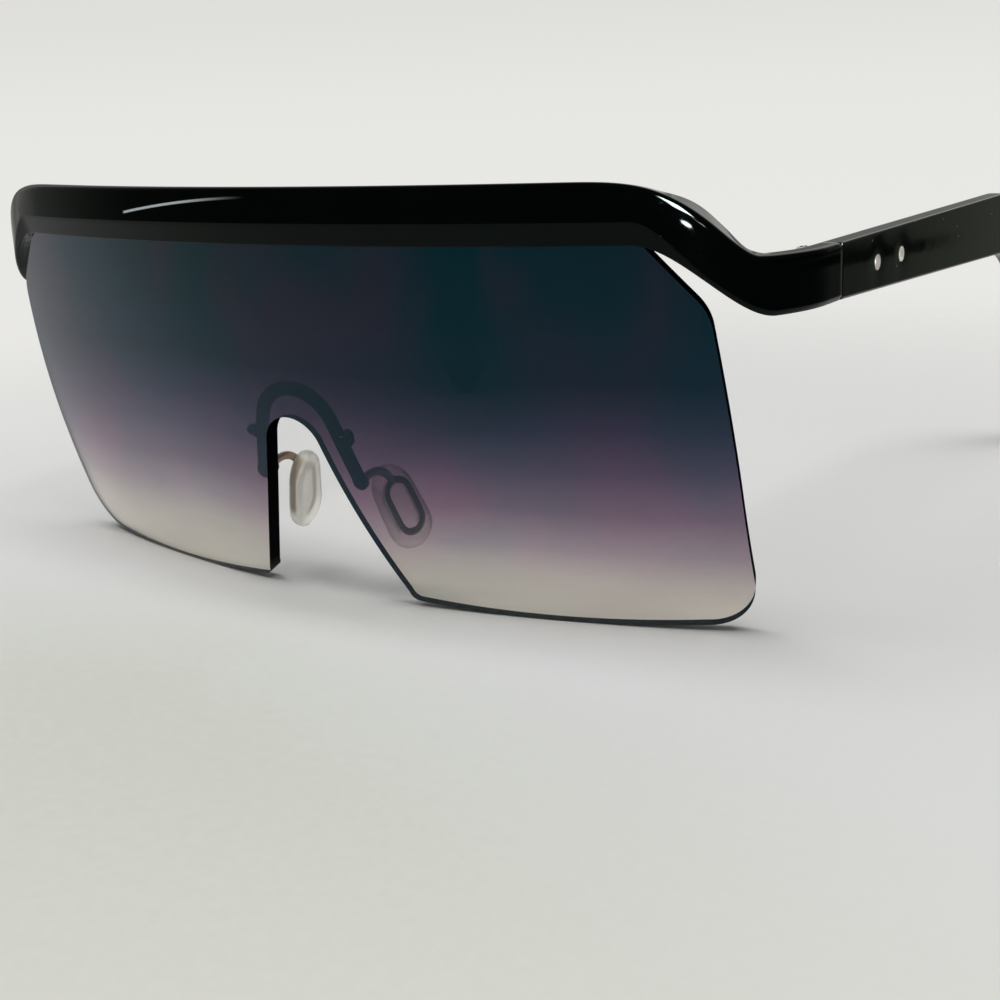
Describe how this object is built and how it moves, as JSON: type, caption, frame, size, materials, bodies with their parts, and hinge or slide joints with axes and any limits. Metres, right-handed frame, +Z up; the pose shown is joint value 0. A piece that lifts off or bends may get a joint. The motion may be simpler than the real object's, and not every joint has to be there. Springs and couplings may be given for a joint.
{
  "type": "shield sunglasses",
  "caption": "Shield sunglasses: brow bar holding a one-piece gradient lens, metal nose bridge with soft pads, and riveted temples that fold on hinges.",
  "frame": {"origin": "middle of the bounding box's base, on the table that the lens and the temple tips stand on", "axes": "+X to the wearer's left, +Y from the lens back towards the ears, +Z up"},
  "size_m": [0.1494, 0.164, 0.0647],
  "materials": {
    "bar_black": "polished black",
    "temple_black": "polished black",
    "lens_tint": "clear with a tint that fades from dark at the top to almost none at the bottom",
    "bridge_metal": "satin",
    "hinge_metal": "satin",
    "small_steel": "bright",
    "rivet_metal": "polished",
    "pad_silicone": "clear soft silicone"
  },
  "bodies": {
    "front": {"brow_bar": "bar_black", "shield_lens": "lens_tint", "lens_screws": "small_steel", "nose_bridge": "bridge_metal", "bridge_pins": "bridge_metal", "pad_arm_left": "bridge_metal", "pad_arm_right": "bridge_metal", "nose_pad_left": "pad_silicone", "nose_pad_right": "pad_silicone", "front_hinge_left": "hinge_metal", "front_hinge_right": "hinge_metal", "hinge_leaf_screws_left": "small_steel", "hinge_leaf_screws_right": "small_steel", "hinge_screw_left": "small_steel", "hinge_screw_right": "small_steel"},
    "left_temple": {"temple_left": "temple_black", "temple_hinge_left": "hinge_metal", "temple_rivets_left": "rivet_metal"},
    "right_temple": {"temple_right": "temple_black", "temple_hinge_right": "hinge_metal", "temple_rivets_right": "rivet_metal"}
  },
  "joints": [
    {"name": "left_temple_fold", "type": "hinge", "parent": "front", "child": "left_temple", "pos_m": [0.06908, -0.04592, 0.05055], "axis": [0, 0, 1], "range_deg": [0, 90]},
    {"name": "right_temple_fold", "type": "hinge", "parent": "front", "child": "right_temple", "pos_m": [-0.06908, -0.04592, 0.05055], "axis": [0, 0, -1], "range_deg": [0, 83]}
  ]
}
